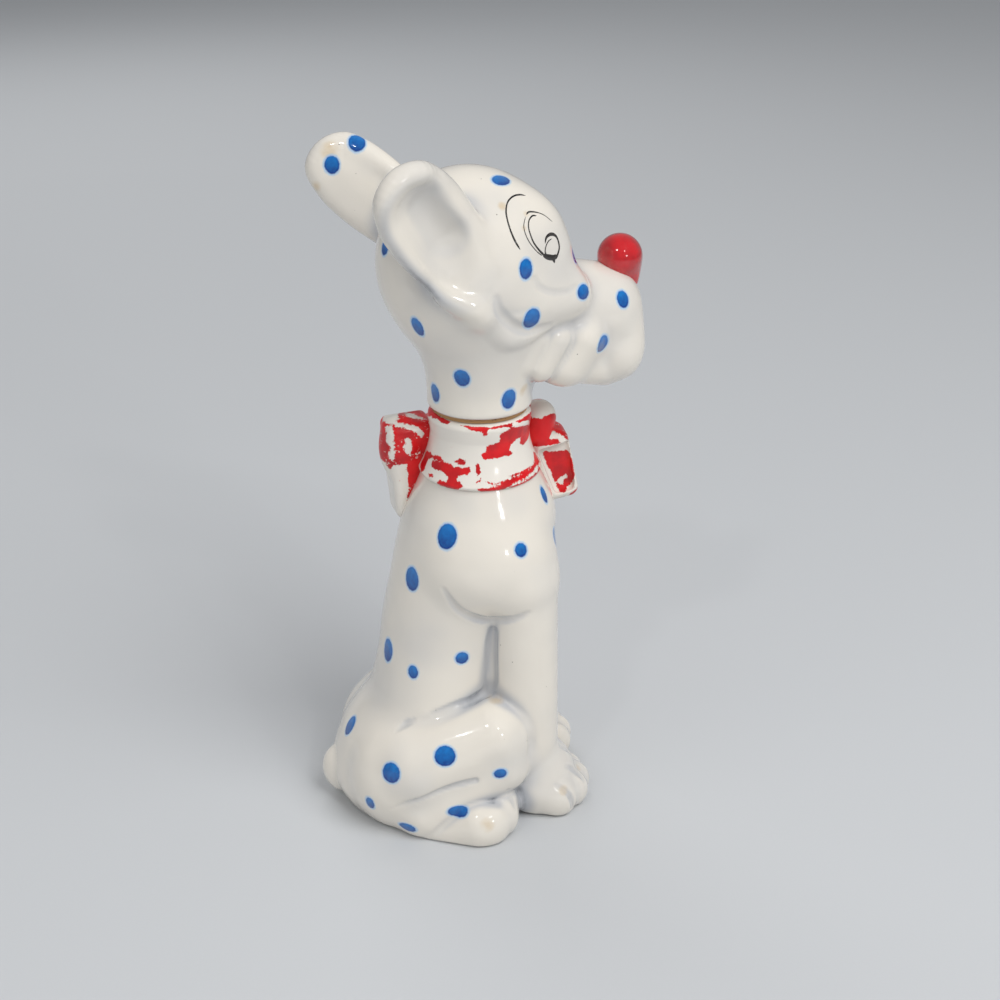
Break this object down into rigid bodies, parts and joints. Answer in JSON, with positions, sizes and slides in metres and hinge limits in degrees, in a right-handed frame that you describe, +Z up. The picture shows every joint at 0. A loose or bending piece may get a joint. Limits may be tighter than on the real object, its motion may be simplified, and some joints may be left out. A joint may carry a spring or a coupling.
{
  "type": "dog decanter",
  "caption": "Ceramic decanter in the form of a sitting spotted dog, with the head as a cork-sleeved stopper, rounded ears, a ball nose and a flared collar with a bow.",
  "frame": {"origin": "on the base face, where the axis of the bottle's neck meets it", "axes": "+Z up along the neck's axis, +X towards the dog's front, +Y towards the dog's left"},
  "size_m": [0.1228, 0.0936, 0.252],
  "materials": {
    "glaze": "glossy warm white glaze with blue dots",
    "worn_red_paint": "cold red paint, worn down to the white glaze",
    "nose_red": "glossy red",
    "cork": "bare cork"
  },
  "bodies": {
    "bottle": {"bottle_body": "glaze", "tail": "glaze", "collar_band": "worn_red_paint", "bow_knot": "worn_red_paint", "bow_front_wing": "worn_red_paint", "bow_front_roll": "worn_red_paint", "bow_rear_wing": "worn_red_paint"},
    "cork": {"cork_sleeve": "cork"},
    "head": {"head_shell": "glaze", "ear_left": "glaze", "ear_right": "glaze", "nose_ball": "nose_red"}
  },
  "joints": [
    {"name": "stopper_lift", "type": "slide", "parent": "bottle", "child": "cork", "axis": [0, 0, 1], "range_m": [0, 0.045]},
    {"name": "head_turn", "type": "hinge", "parent": "cork", "child": "head", "pos_m": [0, 0, 0.158], "axis": [0, 0, 1], "continuous": true}
  ]
}
